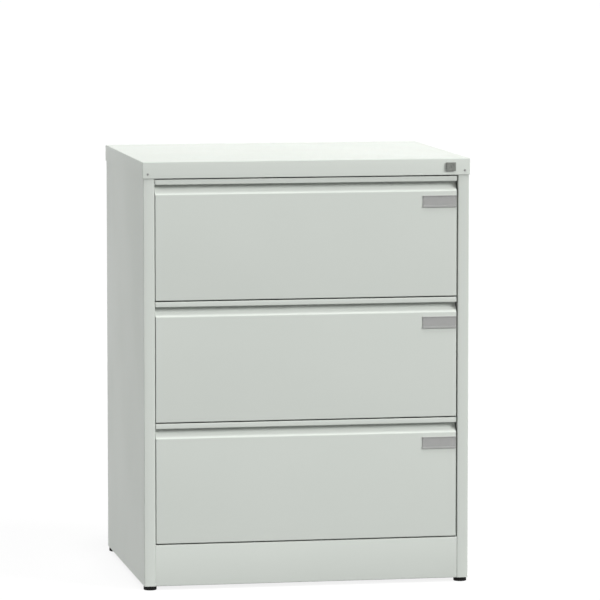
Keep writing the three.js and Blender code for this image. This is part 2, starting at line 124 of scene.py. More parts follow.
def newGroup(name, inputs, outputs):
    group = bpy.data.node_groups.new(name, "ShaderNodeTree")
    for direction, labels in (("INPUT", inputs), ("OUTPUT", outputs)):
        for label in labels:
            group.interface.new_socket(label, in_out=direction, socket_type="NodeSocketFloat")
    return group, put(group, "NodeGroupInput").outputs, put(group, "NodeGroupOutput").inputs


def place(tree, group, inputs):
    return put(tree, "ShaderNodeGroup", inputs, node_tree=group).outputs


peelShape = {
    "waveDetail": 1.5,
    "fineTimes": 3.3,  # how much finer the grain is than the waves
    "fineDetail": 2,
    "cloudDetail": 4,
    "cloudSpan": (0.3, 0.7),
}


# Orange peel of a sprayed or powdered coat, with slow clouds for shade and gloss
def makePeel():
    group, given, out = newGroup(
        "orangePeel", ["Peel Scale", "Grain Share", "Cloud Scale"], ["Height", "Cloud"])
    spot = objectSpot(group)
    waves = noise(group, spot, given["Peel Scale"], peelShape["waveDetail"])
    fineScale = times(group, given["Peel Scale"], peelShape["fineTimes"])
    fine = noise(group, spot, fineScale, peelShape["fineDetail"])
    grain = times(group, fine, given["Grain Share"])
    group.links.new(sums(group, "ADD", waves, grain), out["Height"])
    clouds = noise(group, spot, given["Cloud Scale"], peelShape["cloudDetail"])
    group.links.new(ramp(group, clouds, *peelShape["cloudSpan"]), out["Cloud"])
    return group


edgeShape = {
    "samples": 4,
    "likeness": (0.995, 0.86),  # of the true and the rounded normal, where the rubbed and lightened band starts and is full
    "patchDetail": 3,
    "patchSpan": (0.35, 0.6),
    "leastWearAndHighlight": 0.35,
}


# Outer edges where a coat is thin and rubbed, broken up a little; the lighter colour laid along them is
# partly wear and partly a painted highlight
def makeWornAndHighlitEdges():
    group, given, out = newGroup("rubbedAndHighlitEdges", ["Width", "Breakup"], ["Mask"])
    shape = put(group, "ShaderNodeNewGeometry").outputs["Normal"]
    bevel = put(group, "ShaderNodeBevel", {"Radius": given["Width"]}, samples=edgeShape["samples"])
    pair = {0: shape, 1: bevel.outputs[0]}
    likeness = put(group, "ShaderNodeVectorMath", pair, operation="DOT_PRODUCT").outputs["Value"]
    edge = ramp(group, likeness, *edgeShape["likeness"])
    patches = noise(group, objectSpot(group), given["Breakup"], edgeShape["patchDetail"])
    worn = ramp(group, patches, *edgeShape["patchSpan"], edgeShape["leastWearAndHighlight"], 1.0)
    group.links.new(times(group, edge, worn), out["Mask"])
    return group


dustShape = {"level": (0.7, 1.0), "patchDetail": 6, "patchSpan": (0.3, 0.75)}


# Dust that settles on what faces up
def makeDust():
    group, given, out = newGroup("settledDust", ["Amount", "Patch Scale"], ["Mask"])
    shape = put(group, "ShaderNodeNewGeometry").outputs["Normal"]
    upward = put(group, "ShaderNodeSeparateXYZ", {0: shape}).outputs["Z"]
    level = ramp(group, upward, *dustShape["level"])
    patches = noise(group, objectSpot(group), given["Patch Scale"], dustShape["patchDetail"])
    thick = ramp(group, patches, *dustShape["patchSpan"])
    dust = times(group, level, thick)
    group.links.new(times(group, dust, given["Amount"]), out["Mask"])
    return group


lineShape = {"detail": 3, "broadShare": 0.12, "broadDetail": 2, "broadSpan": (0.3, 0.7)}


# Drawn lines along one direction, for rolled or brushed metal and extrusions
def makeLines():
    group, given, out = newGroup(
        "drawnLines", ["Along X", "Along Y", "Along Z", "Scale"], ["Height", "Streak"])
    along = {axis: given["Along " + axis] for axis in "XYZ"}
    stretch = put(group, "ShaderNodeCombineXYZ", along).outputs[0]
    pair = {0: objectSpot(group), 1: stretch}
    run = put(group, "ShaderNodeVectorMath", pair, operation="MULTIPLY").outputs[0]
    group.links.new(noise(group, run, given["Scale"], lineShape["detail"]), out["Height"])
    broad = times(group, given["Scale"], lineShape["broadShare"])
    streaks = noise(group, run, broad, lineShape["broadDetail"])
    group.links.new(ramp(group, streaks, *lineShape["broadSpan"]), out["Streak"])
    return group


peelGroup, edgeWearAndHighlightGroup, dustGroup, lineGroup = makePeel(), makeWornAndHighlitEdges(), makeDust(), makeLines()


def newMaterial(name):
    material = bpy.data.materials.new(name)
    material.use_nodes = True
    tree = material.node_tree
    return material, tree, tree.nodes["Principled BSDF"]


def bump(tree, shader, height, strength, depth):
    node = put(tree, "ShaderNodeBump", {"Height": height, "Strength": strength, "Distance": depth})
    tree.links.new(node.outputs[0], shader.inputs["Normal"])


# In each look below, relief is the bump's strength and depth, and widths and depths are in metres

paintLook = {
    "color": (0.584, 0.617, 0.578, 1),
    "cloudColor": (0.572, 0.606, 0.567, 1),
    "edgeWearAndHighlightColor": (0.66, 0.69, 0.655, 1),
    "dustColor": (0.62, 0.61, 0.58, 1),
    "peel": {"Peel Scale": 620, "Grain Share": 0.3, "Cloud Scale": 3.5},
    "edge": {"Width": 0.0012, "Breakup": 45},
    "dust": {"Amount": 0.22, "Patch Scale": 11},
    "cloudShare": 0.6,
    "edgeWearAndHighlightShare": 0.55,
    "roughness": (0.48, 0.54),
    "edgePolish": 0.06,  # taken off the roughness where an edge is rubbed
    "dustDull": 0.3,  # added to it under dust
    "relief": (0.3, 0.00003),
}


def makePaint():
    look = paintLook
    material, tree, shader = newMaterial("greyPowderCoat")
    peel = place(tree, peelGroup, look["peel"])
    edge = place(tree, edgeWearAndHighlightGroup, look["edge"])["Mask"]
    dust = place(tree, dustGroup, look["dust"])["Mask"]
    cloud = times(tree, peel["Cloud"], look["cloudShare"])
    coat = blendColors(tree, cloud, look["color"], look["cloudColor"])
    # edges lighter where the coat is rubbed thin, which also paints a highlight along every edge
    coat = blendColors(tree, times(tree, edge, look["edgeWearAndHighlightShare"]), coat, look["edgeWearAndHighlightColor"])
    coat = blendColors(tree, dust, coat, look["dustColor"])
    tree.links.new(coat, shader.inputs["Base Color"])
    gloss = ramp(tree, peel["Cloud"], 0, 1, *look["roughness"])
    gloss = sums(tree, "SUBTRACT", gloss, times(tree, edge, look["edgePolish"]))
    gloss = sums(tree, "ADD", gloss, times(tree, dust, look["dustDull"]))
    tree.links.new(gloss, shader.inputs["Roughness"])
    bump(tree, shader, peel["Height"], *look["relief"])
    return material


zincLook = {
    "color": (0.41, 0.425, 0.44, 1),
    "brightColor": (0.52, 0.525, 0.525, 1),
    "lines": {"Along X": 1, "Along Y": 0.02, "Along Z": 1, "Scale": 1400},
    "spangle": 95,
    "edge": {"Width": 0.0008, "Breakup": 80},
    "edgeWearAndHighlightShare": 0.5,
    "roughness": (0.30, 0.48),
    "relief": (0.25, 0.00002),
}


def makeZinc():
    look = zincLook
    material, tree, shader = newMaterial("zincPlate")
    shader.inputs["Metallic"].default_value = 1
    lines = place(tree, lineGroup, look["lines"])
    edge = place(tree, edgeWearAndHighlightGroup, look["edge"])["Mask"]
    flakes = put(tree, "ShaderNodeTexVoronoi", {"Vector": objectSpot(tree), "Scale": look["spangle"]})
    flake = put(tree, "ShaderNodeSeparateColor", {0: flakes.outputs["Color"]}).outputs[0]
    share = times(tree, sums(tree, "ADD", flake, lines["Streak"]), 0.5)  # mean of the two
    skin = blendColors(tree, share, look["color"], look["brightColor"])
    # edges brighter where rubbed, partly wear and partly a painted highlight
    skin = blendColors(tree, times(tree, edge, look["edgeWearAndHighlightShare"]), skin, look["brightColor"])
    tree.links.new(skin, shader.inputs["Base Color"])
    tree.links.new(ramp(tree, share, 0, 1, *look["roughness"]), shader.inputs["Roughness"])
    bump(tree, shader, lines["Height"], *look["relief"])
    return material


mouldedLooks = {
    "lockGrey": {
        "color": (0.185, 0.193, 0.177, 1), "lightColor": (0.27, 0.28, 0.26, 1),
        "roughness": (0.36, 0.46), "grain": 1500, "depth": 0.00003, "sheen": 0.5,
    },
    "lockPlug": {
        "color": (0.195, 0.203, 0.187, 1), "lightColor": (0.30, 0.31, 0.29, 1),
        "roughness": (0.28, 0.4), "grain": 2200, "depth": 0.00002, "sheen": 0.5,
    },
    "blackPad": {
        "color": (0.006, 0.006, 0.006, 1), "lightColor": (0.02, 0.02, 0.02, 1),
        "roughness": (0.5, 0.66), "grain": 1700, "depth": 0.00006, "sheen": 0.15,
    },
    "dullRivet": {
        "color": (0.29, 0.295, 0.285, 1), "lightColor": (0.38, 0.385, 0.38, 1),
        "roughness": (0.5, 0.62), "grain": 2600, "depth": 0.00002, "sheen": 0.3,
    },
}
mouldedSkin = {  # what they have in common
    "peel": {"Grain Share": 0.6, "Cloud Scale": 30},
    "cloudShare": 0.25,
    "edge": {"Width": 0.0007, "Breakup": 150},
    "edgeWearAndHighlightShare": 0.45,
    "bump": 0.4,
}


# Moulded or cast pieces with a fine grain
def makeMoulded(name):
    look, common = mouldedLooks[name], mouldedSkin
    material, tree, shader = newMaterial(name)
    shader.inputs["Specular IOR Level"].default_value = look["sheen"]
    peel = place(tree, peelGroup, {**common["peel"], "Peel Scale": look["grain"]})
    edge = place(tree, edgeWearAndHighlightGroup, common["edge"])["Mask"]
    cloud = times(tree, peel["Cloud"], common["cloudShare"])
    skin = blendColors(tree, cloud, look["color"], look["lightColor"])
    # edges lighter where rubbed, partly wear and partly a painted highlight
    skin = blendColors(tree, times(tree, edge, common["edgeWearAndHighlightShare"]), skin, look["lightColor"])
    tree.links.new(skin, shader.inputs["Base Color"])
    tree.links.new(ramp(tree, peel["Cloud"], 0, 1, *look["roughness"]), shader.inputs["Roughness"])
    bump(tree, shader, peel["Height"], common["bump"], look["depth"])
    return material


labelLook = {
    "color": (0.357, 0.362, 0.352, 1),
    "brightColor": (0.46, 0.465, 0.455, 1),
    "lines": {"Along X": 0.02, "Along Y": 1, "Along Z": 1, "Scale": 2600},
    "streakShare": 0.4,
    "edge": {"Width": 0.0004, "Breakup": 120},
    "edgeWearAndHighlightShare": 0.4,
    "roughness": (0.34, 0.46),
    "relief": (0.3, 0.00002),
}


def makeExtruded():
    look = labelLook
    material, tree, shader = newMaterial("labelExtrusion")
    lines = place(tree, lineGroup, look["lines"])
    edge = place(tree, edgeWearAndHighlightGroup, look["edge"])["Mask"]
    streak = times(tree, lines["Streak"], look["streakShare"])
    skin = blendColors(tree, streak, look["color"], look["brightColor"])
    # edges brighter where rubbed, partly wear and partly a painted highlight
    skin = blendColors(tree, times(tree, edge, look["edgeWearAndHighlightShare"]), skin, look["brightColor"])
    tree.links.new(skin, shader.inputs["Base Color"])
    tree.links.new(ramp(tree, lines["Streak"], 0, 1, *look["roughness"]), shader.inputs["Roughness"])
    bump(tree, shader, lines["Height"], *look["relief"])
    return material


cardLook = {
    "color": (0.405, 0.41, 0.40, 1),
    "fibreColor": (0.44, 0.44, 0.425, 1),
    "fibres": {"Peel Scale": 2400, "Grain Share": 0.8, "Cloud Scale": 260},
    "fibreShare": 0.5,
    "roughness": (0.78, 0.9),
    "relief": (0.3, 0.00003),
}


def makeCard():
    look = cardLook
    material, tree, shader = newMaterial("blankCard")
    peel = place(tree, peelGroup, look["fibres"])
    fibre = times(tree, peel["Cloud"], look["fibreShare"])
    tree.links.new(blendColors(tree, fibre, look["color"], look["fibreColor"]), shader.inputs["Base Color"])
    tree.links.new(ramp(tree, peel["Cloud"], 0, 1, *look["roughness"]), shader.inputs["Roughness"])
    bump(tree, shader, peel["Height"], *look["relief"])
    return material


windowLook = {
    "color": (0.50, 0.505, 0.50, 1),
    "waves": {"Peel Scale": 90, "Grain Share": 0.2, "Cloud Scale": 45},
    "alpha": (0.15, 0.17),
    "roughness": (0.2, 0.24),
    "relief": (0.1, 0.00001),
}


def makeWindow():
    look = windowLook
    material, tree, shader = newMaterial("clearWindow")
    shader.inputs["Base Color"].default_value = look["color"]
    peel = place(tree, peelGroup, look["waves"])
    tree.links.new(ramp(tree, peel["Cloud"], 0, 1, *look["alpha"]), shader.inputs["Alpha"])
    tree.links.new(ramp(tree, peel["Cloud"], 0, 1, *look["roughness"]), shader.inputs["Roughness"])
    bump(tree, shader, peel["Height"], *look["relief"])
    return material


finishes = {
    "paint": makePaint(),
    "zinc_steel": makeZinc(),
    "lock_grey": makeMoulded("lockGrey"),
    "lock_steel": makeMoulded("lockPlug"),
    "label_grey": makeExtruded(),
    "label_card": makeCard(),
    "foot_black": makeMoulded("blackPad"),
}
clearWindow, dullRivet = makeWindow(), makeMoulded("dullRivet")
print("materials made:", len(finishes) + 2)


# Mesh helpers

sameSpot = 0.001 * mm  # points nearer than this count as one
edgeSet = {"smoothBelow": 32, "bevelAbove": 40, "segments": 2}  # angles in degrees


def leftOf(direction):
    return Vector((-direction.y, direction.x))


# Points along a folded sheet as (face, far) pairs; the metal lies on the left of the path
def foldPairs(path, gauge, radius, radii=None, steps=6):
    corners = [Vector(point) for point in path]
    pairs = []
    for index, corner in enumerate(corners):
        first, last = index == 0, index == len(corners) - 1
        before = after = None
        if not first:
            before = (corner - corners[index - 1]).normalized()
        if not last:
            after = (corners[index + 1] - corner).normalized()
        if first or last:
            pairs.append((corner, corner + leftOf(after if first else before) * gauge))
            continue
        angle = math.atan2(before.cross(after), before.dot(after))
        inside = (radii or {}).get(index, radius)
        reach = inside + gauge if angle > 0 else inside
        turn = math.copysign(reach, angle)
        pivot = corner - before * reach * math.tan(abs(angle) / 2) + leftOf(before) * turn
        for step in range(steps + 1):
            normal = leftOf(before)
            normal.rotate(Matrix.Rotation(angle * step / steps, 2))
            pairs.append((pivot - normal * turn, pivot - normal * turn + normal * gauge))
    return [pair for index, pair in enumerate(pairs)
            if index == 0 or (pair[0] - pairs[index - 1][0]).length > sameSpot]


# A path drawn for the right side, or its mirror image for the left
def onSide(path, sign):
    return path if sign > 0 else [(-across, other) for across, other in reversed(path)]


def quarterAngles(steps):
    return [math.pi / 2 * step / steps for step in range(steps + 1)]


def lay(axis, point, along):
    first, second = point
    return {"x": (along, first, second), "y": (first, along, second), "z": (first, second, along)}[axis]


def meshObject(name, verts, faces):
    mesh = bpy.data.meshes.new(name)
    mesh.from_pydata([tuple(v) for v in verts], [], faces)
    work = bmesh.new()
    work.from_mesh(mesh)
    bmesh.ops.recalc_face_normals(work, faces=work.faces)
    work.to_mesh(mesh)
    work.free()
    thing = bpy.data.objects.new(name, mesh)
    bpy.context.collection.objects.link(thing)
    return thing


# Folded sheet of constant section: along x its path is (y, z), along y (x, z) and along z (x, y)
def foldedSheet(name, axis, path, gauge, radius, start, stop, radii=None, steps=6):
    pairs = foldPairs(path, gauge, radius, radii, steps)
    count = len(pairs)
    verts = [lay(axis, pair[layer], along) for along in (start, stop) for layer in (0, 1) for pair in pairs]
    faces = []

    def spot(end, layer, index):
        return (2 * end + layer) * count + index

    for index in range(count - 1):
        for layer in (0, 1):
            faces.append((spot(0, layer, index), spot(0, layer, index + 1),
                          spot(1, layer, index + 1), spot(1, layer, index)))
        for end in (0, 1):
            faces.append((spot(end, 0, index), spot(end, 1, index),
                          spot(end, 1, index + 1), spot(end, 0, index + 1)))
    for index in (0, count - 1):
        faces.append((spot(0, 0, index), spot(1, 0, index), spot(1, 1, index), spot(0, 1, index)))
    return meshObject(name, verts, faces)


# Sheet from its near face: the far face is added, and the open edges are closed
def thicken(name, near, far, faces):
    count = len(near)
    used = dict.fromkeys(edge for face in faces for edge in zip(face, face[1:] + face[:1]))
    rims = [edge for edge in used if edge[::-1] not in used]
    back = [tuple(count + index for index in reversed(face)) for face in faces]
    closing = [(stop, start, count + start, count + stop) for start, stop in rims]
    return meshObject(name, near + far, faces + back + closing)


# Rings of equal point counts joined one to the next; the ends are capped, or joined where closed
def loft(name, rings, closed=False):
    count = len(rings[0])
    verts = [point for ring in rings for point in ring]
    faces = []
    spans = len(rings) if closed else len(rings) - 1
    for row in range(spans):
        low, high = row * count, ((row + 1) % len(rings)) * count
        for index in range(count):
            after = (index + 1) % count
            faces.append((low + index, low + after, high + after, high + index))
    if not closed:
        faces.append(tuple(range(count)))
        faces.append(tuple(range(len(verts) - count, len(verts))))
    return meshObject(name, verts, faces)


# Rounded rectangle, counted from the upper end of its right side so that rings of any size match up
def roundedRing(low, high, radius, steps=6):
    points = []
    corners = [((high[0] - radius, high[1] - radius), 0), ((low[0] + radius, high[1] - radius), 90),
               ((low[0] + radius, low[1] + radius), 180), ((high[0] - radius, low[1] + radius), 270)]
    for (across, other), start in corners:
        for step in range(steps + 1):
            angle = math.radians(start + 90 * step / steps)
            points.append((across + radius * math.cos(angle), other + radius * math.sin(angle)))
    return points


# Turned piece: profile of (radius, height) about a centre, along a direction
def turned(name, profile, centre, direction, count=24):
    spin = Vector((0, 0, 1)).rotation_difference(Vector(direction)).to_matrix()
    angles = [math.tau * index / count for index in range(count)]
    rings = [[spin @ Vector((radius * math.cos(angle), radius * math.sin(angle), height)) + Vector(centre)
              for angle in angles] for radius, height in profile]
    return loft(name, rings)


# Joins several meshes into one, for rows of rivets or beads
def gather(name, things):
    work = bmesh.new()
    for thing in things:
        work.from_mesh(thing.data)
        bpy.data.objects.remove(thing)
    mesh = bpy.data.meshes.new(name)
    work.to_mesh(mesh)
    work.free()
    whole = bpy.data.objects.new(name, mesh)
    bpy.context.collection.objects.link(whole)
    return whole


def smooth(thing):
    for face in thing.data.polygons:
        face.use_smooth = True
    thing.data.set_sharp_from_angle(angle=math.radians(edgeSet["smoothBelow"]))


def soften(thing, width):
    bevel = thing.modifiers.new("edges", "BEVEL")
    bevel.width = width
    bevel.segments = edgeSet["segments"]
    bevel.limit_method = "ANGLE"
    bevel.angle_limit = math.radians(edgeSet["bevelAbove"])
    bevel.harden_normals = True


# Shading, finish, body and the nodes that the piece stands for
def finishPiece(thing, body, slotName, nodes=(), material=None, edge=0.25 * mm):
    smooth(thing)
    if edge:
        soften(thing, edge)
    thing.data.materials.append(material or finishes[slotName])
    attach(thing, body)
    if nodes:
        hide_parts(*nodes)


# Carcass

carcass = {
    "gauge": 1.0 * mm,
    "bend": 0.7 * mm,  # inside radius of the folds
    "bendSteps": 8,
    "stileDepth": 40 * mm,
    "stileSlit": 1.5 * mm,
    "rearReturn": 18 * mm,
    "plinthReturn": 22 * mm,
    "footPlate": 3 * mm,
    "plateInset": 1.2 * mm,  # foot plate to the stile's outer faces
    "plateCorner": 2 * mm,
}


# Side panels with their box-section stiles, and the plates that hold the front feet
def makeSides():
    gauge, inset = carcass["gauge"], carcass["plateInset"]
    for side, sign in sides.items():
        low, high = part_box("side_panel_" + side)
        inner, outer = sorted((abs(low.x), abs(high.x)))
        stileBack = low.y + carcass["stileDepth"]
        path = onSide([
            (outer - gauge - carcass["stileSlit"], stileBack), (inner, stileBack), (inner, low.y),
            (outer, low.y), (outer, high.y), (outer - carcass["rearReturn"], high.y),
        ], sign)
        panel = foldedSheet("sidePanel." + side, "z", path, gauge, carcass["bend"], low.z, high.z,
                            steps=carcass["bendSteps"])
        finishPiece(panel, "cabinet", "paint", ["side_panel_" + side])
        near, far = sorted((sign * (inner + inset), sign * (outer - inset)))
        ring = roundedRing((near, low.y + inset), (far, stileBack - inset), carcass["plateCorner"])
        rings = [[(*point, height) for point in ring] for height in (low.z, low.z + carcass["footPlate"])]
        finishPiece(loft("footPlate." + side, rings), "cabinet", "paint")


coverLook = {
    "gauge": 1.0 * mm,
    "fold": 1.9 * mm,
    "corner": 1.9 * mm,
    "leastCorner": 0.3 * mm,
    "edge": 0.2 * mm,
    "steps": 6,
}


# Lid: outer skin from the skirt's lower edge over the fold to the flat, and the same inside
def makeCover():
    low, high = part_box("top_cover")
    gauge, fold, steps = coverLook["gauge"], coverLook["fold"], coverLook["steps"]

    def ringAt(inset, height):
        radius = max(coverLook["corner"] - inset, coverLook["leastCorner"])
        ring = roundedRing((low.x + inset, low.y + inset), (high.x - inset, high.y - inset), radius, steps)
        return [(*point, height) for point in ring]

    def foldRing(inset, radius, angle):  # from the skirt at no angle to the flat at a quarter turn
        return ringAt(inset + radius * (1 - math.cos(angle)), high.z - fold + radius * math.sin(angle))

    angles = quarterAngles(steps)
    rings = [foldRing(gauge, fold - gauge, angle) for angle in reversed(angles)]  # inside, ceiling to skirt
    rings += [ringAt(gauge, low.z), ringAt(0, low.z)]
    rings += [foldRing(0, fold, angle) for angle in angles]  # outside, up the skirt and over the fold
    finishPiece(loft("topCover", rings), "cabinet", "paint", ["top_cover"], edge=coverLook["edge"])


def makePlinth():
    low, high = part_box("plinth_panel")
    deep = low.y + carcass["plinthReturn"]
    path = [(deep, high.z), (low.y, high.z), (low.y, low.z), (deep, low.z)]
    plinth = foldedSheet("plinthPanel", "x", path, carcass["gauge"], carcass["bend"], low.x, high.x)
    finishPiece(plinth, "cabinet", "paint", ["plinth_panel"])


rivetLook = {
    "bury": 0.3 * mm,  # how far behind the face the head starts
    "core": 0.6,  # inner edge of its underside, as a share of its radius
    "dimple": 1 / 3,  # radius of the pit, as a share of the head's
    "rim": 1.15,  # the dome ends at this share of the pit's radius
    "pit": [(1.1, 0), (1, 0.15 * mm), (0.7, 0.35 * mm)],  # shares of the pit's radius, and depths
    "steps": 7,
}


# Blind rivet: domed head with the small pit its broken mandrel leaves
def rivetHead(name, centre, direction, radius, dome):
    look = rivetLook
    pit = look["dimple"] * radius
    arc = quarterAngles(look["steps"])[:-1]
    profile = [(radius * look["core"], -look["bury"]), (radius, -look["bury"])]
    profile += [(radius * math.cos(angle), dome * math.sin(angle)) for angle in arc]
    profile = [point for point in profile if point[0] > pit * look["rim"]]
    profile += [(pit * share, dome - depth) for share, depth in look["pit"]]
    return turned(name, profile, centre, direction)


def makeCoverRivets():
    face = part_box("top_cover")[0].y
    for side in sides:
        low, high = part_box("cover_rivet_" + side)
        centre = ((low.x + high.x) / 2, face, (low.z + high.z) / 2)
        rivet = rivetHead("coverRivet." + side, centre, (0, -1, 0), (high.x - low.x) / 2, face - low.y)
        finishPiece(rivet, "cabinet", "zinc_steel", ["cover_rivet_" + side], dullRivet, 0)


backLook = {
    "rivets": 9,
    "fromEdge": 9 * mm,
    "radius": 2.6 * mm,
    "dome": 0.9 * mm,
    "lowMargin": 45 * mm,
    "topMargin": 60 * mm,
}


# Painted rivets down the rear returns, where the back panel is fixed
def makeBackRivets():
    low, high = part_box("side_panel_right")
    start = low.z + backLook["lowMargin"]
    span = high.z - backLook["topMargin"] - start
    rivets = []
    for sign in sides.values():
        for index in range(backLook["rivets"]):
            height = start + span * index / (backLook["rivets"] - 1)
            centre = (sign * (high.x - backLook["fromEdge"]), high.y, height)
            rivets.append(rivetHead("backRivet", centre, (0, 1, 0), backLook["radius"], backLook["dome"]))
    finishPiece(gather("backRivets", rivets), "cabinet", "paint", edge=0)


padLook = {
    "seat": 0.3 * mm,  # pad to the body's lower edge
    "ribs": 20,
    "ribPoints": 6,  # points round the pad for each rib
    "ribDepth": 0.5 * mm,
    "dish": [(0.5, 0.6 * mm), (0.62, 0)],  # hollow underside: shares of the radius, and heights
    "rim": 1.5 * mm,
    "rimCurve": [(1, 0, 0), (0.45, 0.25, 0.4), (0, 1, 1)],  # shares of the rim in and up, and of the ribs
    "shoulder": [(0, 1.2 * mm, 1), (0.3 * mm, 0.4 * mm, 0.6), (1.0 * mm, 0, 0)],  # inset, drop, share of ribs
    "collar": 5.5 * mm,
}


# Moulded pad with grip ribs round its edge
def makePad(name, centre, radius, padTop):
    look, rim = padLook, padLook["rim"]
    count = look["ribPoints"] * look["ribs"]
    profile = [(radius * share, height, 0) for share, height in look["dish"]]
    profile += [(radius - rim * inset, rim * height, ribs) for inset, height, ribs in look["rimCurve"]]
    profile += [(radius - inset, padTop - drop, ribs) for inset, drop, ribs in look["shoulder"]]
    profile.append((look["collar"], padTop, 0))
    rings = []
    for size, height, ribs in profile:
        ring = []
        for index in range(count):
            angle = math.tau * index / count
            reach = size - ribs * look["ribDepth"] * (0.5 - 0.5 * math.cos(look["ribs"] * angle))
            ring.append((centre[0] + reach * math.cos(angle), centre[1] + reach * math.sin(angle), height))
        rings.append(ring)
    return loft(name, rings)


studLook = {
    "radius": 4 * mm,
    "root": 0.84,  # bottom of the thread, as a share of the radius
    "pitch": 1.25 * mm,
    "foot": (0.6, 0.5 * mm),  # inner edge of its lower end, as a share, and depth in the pad
    "plainEnd": 1.5 * mm,  # at least this much above the thread
    "tip": [(0.8, 0.4 * mm), (0.5, 0)],  # shares of the radius, and drops from the top
}


def makeStud(name, centre, padTop, top):
    radius, root, pitch = studLook["radius"], studLook["radius"] * studLook["root"], studLook["pitch"]
    inner, depth = studLook["foot"]
    profile = [(radius * inner, padTop - depth), (root, padTop - depth)]
    for turn in range(int((top - padTop - studLook["plainEnd"]) / pitch)):
        profile += [(root, padTop + turn * pitch), (radius, padTop + (turn + 0.5) * pitch)]
    profile += [(radius * share, top - drop) for share, drop in studLook["tip"]]
    return turned(name, profile, (*centre, 0), (0, 0, 1))


def makeFeet():
    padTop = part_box("side_panel_right")[0].z - padLook["seat"]
    for row in ("front", "rear"):
        for side in sides:
            corner = f"{row}_{side}"
            body = "foot_" + corner
            low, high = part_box(body)
            centre = ((low.x + high.x) / 2, (low.y + high.y) / 2)
            pad = makePad("footPad." + corner, centre, (high.x - low.x) / 2, padTop)
            finishPiece(pad, body, "foot_black", [body], edge=0)
            stud = makeStud("footStud." + corner, centre, padTop, high.z)
            finishPiece(stud, body, "zinc_steel", edge=0)


makeSides()
makeCover()
makePlinth()
makeCoverRivets()
makeBackRivets()
makeFeet()
print("carcass made")


# Drawers

frontLook = {
    "gauge": 1.0 * mm,
    "bend": 0.4 * mm,
    "lip": 12 * mm,
    "grip": 35.2 * mm,  # top edge to the crease under the groove
    "gripDepth": 14.6 * mm,
    "cove": (13.8 * mm, 19 * mm),  # depth and drop where the groove turns out to the panel
    "coveBend": 16 * mm,
    "creaseBend": 2.2 * mm,
    "sideReturn": 16 * mm,
    "bottomReturn": 14 * mm,
    "hem": 7 * mm,
    "hemGap": 0.9 * mm,
    "weld": 0.01 * mm,  # points this near are joined
    "edge": 0.2 * mm,
    "steps": 8,
}


# One skin: hemmed lip, coved groove, panel and bottom fold, with the panel's ends folded back
def makeFront(number):
    low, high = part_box(f"drawer_{number}_front")
    look, gauge = frontLook, frontLook["gauge"]
    face, crease, lipFoot = low.y, high.z - look["grip"], high.z - look["lip"]
    leaf = face + gauge + look["hemGap"]
    path = [
        (leaf, lipFoot + look["hem"]), (leaf, lipFoot + gauge), (face + gauge, lipFoot + gauge),
        (face + gauge, high.z - gauge), (face + look["gripDepth"], high.z - gauge),
        (face + look["cove"][0], high.z - look["cove"][1]), (face, crease),
        (face, low.z), (face + look["bottomReturn"], low.z),
    ]
    radii = {1: look["hemGap"] / 2, 2: look["hemGap"] / 2, 5: look["coveBend"], 6: look["creaseBend"]}
    rows = foldPairs(path, gauge, look["bend"], radii, look["steps"])
    panel = [index for index, row in enumerate(rows) if abs(row[0].x - face) < sameSpot]  # on the flat panel
    first, last = panel[0], panel[-1]
    inside, outside = look["bend"], look["bend"] + gauge
    middle, half = (low.x + high.x) / 2, (high.x - low.x) / 2
    flat = half - outside

    def wing(height):  # round the panel's vertical edge and back along its side, as (near, far) points
        points = [[(flat + reach * math.sin(angle), face + outside - reach * math.cos(angle), height)
                   for reach in (outside, inside)] for angle in quarterAngles(look["steps"])]
        points.append([(x, face + look["sideReturn"], height) for x in (half, half - gauge)])
        return points

    near, far, known, faces = [], [], {}, []

    def vertex(point):
        key = tuple(round(value / look["weld"]) for value in point[0])
        if key not in known:
            known[key] = len(near)
            near.append(point[0])
            far.append(point[1])
        return known[key]

    def quad(*corners):
        faces.append(tuple(vertex(corner) for corner in corners))

    for index in range(len(rows) - 1):
        here, there = rows[index], rows[index + 1]
        reach = [-flat, flat] if first <= index < last else [-half, -flat, flat, half]
        for start, stop in zip(reach, reach[1:]):
            quad(*([(middle + x, *layer) for layer in row] for x, row in
                   ((start, here), (stop, here), (stop, there), (start, there))))
    for sign in sides.values():
        upper, lower = ([[(middle + sign * x, y, z) for x, y, z in point] for point in wing(rows[row][0].y)]
                        for row in (first, last))
        for index in range(len(upper) - 1):
            corners = [upper[index], upper[index + 1], lower[index + 1], lower[index]]
            quad(*(corners if sign > 0 else corners[::-1]))
    front = thicken(f"drawerFront.{number}", near, far, faces)
    finishPiece(front, f"drawer_{number}", "paint", [f"drawer_{number}_front"], edge=look["edge"])


boxLook = {
    "gauge": 1.0 * mm,
    "bend": 1.3 * mm,
    "hemBend": 0.6 * mm,
    "hemGap": 1.6 * mm,
    "hemDrop": 9 * mm,
    "linerFlange": 8 * mm,
}


def makeLiner(number):
    low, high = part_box(f"drawer_{number}_liner")
    path = [(low.y + boxLook["linerFlange"], high.z), (low.y, high.z), (low.y, low.z)]
    liner = foldedSheet(f"drawerLiner.{number}", "x", path, boxLook["gauge"], boxLook["bend"], low.x, high.x)
    finishPiece(liner, f"drawer_{number}", "paint", [f"drawer_{number}_liner"])


